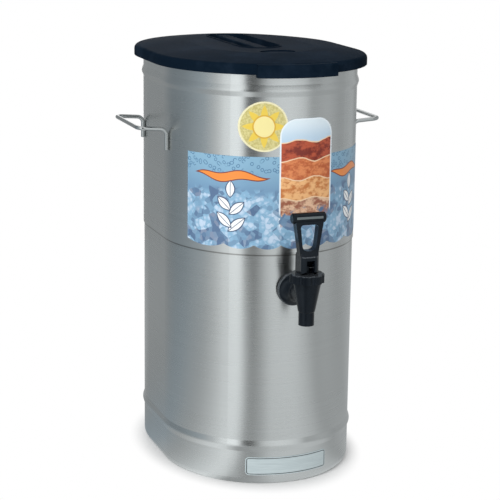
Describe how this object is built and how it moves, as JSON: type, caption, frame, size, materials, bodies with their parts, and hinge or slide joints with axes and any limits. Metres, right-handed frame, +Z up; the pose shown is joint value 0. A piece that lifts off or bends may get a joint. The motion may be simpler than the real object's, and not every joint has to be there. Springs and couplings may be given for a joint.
{
  "type": "beverage dispenser",
  "caption": "Oval stainless beverage dispenser with a lift-off plastic lid, wire side handles and a sprung lever faucet.",
  "frame": {"origin": "centre of the body's plan, on the surface that it stands on", "axes": "+Z up, -Y to the front, where the faucet is, and X across, with a handle at each side"},
  "size_m": [0.324, 0.4137, 0.5291],
  "materials": {
    "steel": "fine polishing grain that runs round the body, satin",
    "wire": "polished wire",
    "spring_steel": "bright",
    "label": "printed film, satin",
    "badge": "satin plate with a thin dark edge",
    "faucet_plastic": "moulded, satin",
    "stem_plastic": "moulded",
    "lid_plastic": "moulded, fine grain",
    "cup_plastic": "moulded",
    "marker": "plain strip",
    "rubber": "moulded",
    "seat_silicone": "moulded silicone"
  },
  "bodies": {
    "dispenser": {"tank_wall": "steel", "base_shell": "steel", "tank_pan": "steel", "handle_left": "wire", "handle_right": "wire", "front_label": "label", "name_badge": "badge", "faucet_body": "faucet_plastic", "faucet_bonnet": "faucet_plastic", "bonnet_seal": "rubber", "stem_seal": "rubber", "spring_washer": "spring_steel", "shank_gasket_outer": "rubber", "shank_gasket_inner": "rubber", "shank_washer": "spring_steel", "shank_nut": "faucet_plastic", "valve_spring": "spring_steel"},
    "lid": {"lid": "lid_plastic", "grip_cup": "cup_plastic"},
    "stem": {"lift_stem": "stem_plastic", "seat_cup": "seat_silicone"},
    "lever": {"faucet_lever": "faucet_plastic", "lever_marker": "marker", "lever_pin": "spring_steel"}
  },
  "joints": [
    {"name": "lid_lift", "type": "slide", "parent": "dispenser", "child": "lid", "axis": [0, 0, 1], "range_m": [0, 0.12]},
    {"name": "stem_lift", "type": "slide", "parent": "dispenser", "child": "stem", "axis": [0, 0, 1], "range_m": [0, 0.004], "deforming": ["valve_spring"]},
    {"name": "lever_tip", "type": "hinge", "parent": "stem", "child": "lever", "pos_m": [0, -0.214, 0.2863], "axis": [1, 0, 0], "range_deg": [0, 45], "stiffness_Nm_per_rad": 0.08, "springref_deg": -28.65}
  ],
  "couplings": [
    {"joint": "stem_lift", "follows": "lever_tip", "m_per_rad": 0.005}
  ]
}
